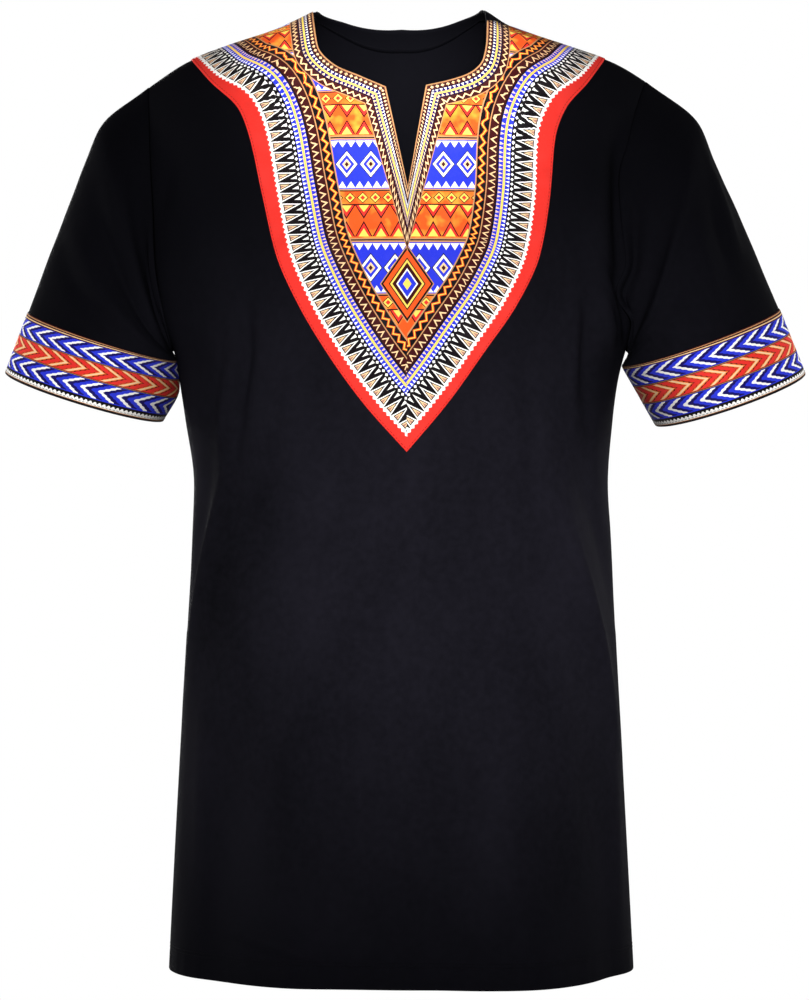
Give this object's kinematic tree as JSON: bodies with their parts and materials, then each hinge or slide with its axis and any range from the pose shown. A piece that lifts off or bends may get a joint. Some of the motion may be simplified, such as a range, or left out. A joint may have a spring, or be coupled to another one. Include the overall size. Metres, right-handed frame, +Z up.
{
  "type": "long dashiki tunic shirt",
  "caption": "Long short-sleeved dashiki tunic, filled out as worn, with a slit neck, a printed V yoke on the chest and printed bands at the cuffs.",
  "frame": {"origin": "midway between the two neck points on the shoulder line, where a wearer's shoulders and neck hold the garment up", "axes": "+Z up towards the neck, the front faces -Y, the wearer's left is at +X"},
  "size_m": [0.7206, 0.2614, 0.8641],
  "materials": {
    "black_jersey": "matt black cotton jersey",
    "yoke_print": "flat printed cotton with a plain red border",
    "band_print": "flat printed cotton with chevron rows"
  },
  "bodies": {
    "root": {"front": "black_jersey", "back": "black_jersey", "sleeve_right": "black_jersey", "sleeve_left": "black_jersey", "yoke": "yoke_print", "band_right": "band_print", "band_left": "band_print", "neck_facing": "black_jersey"}
  },
  "joints": []
}
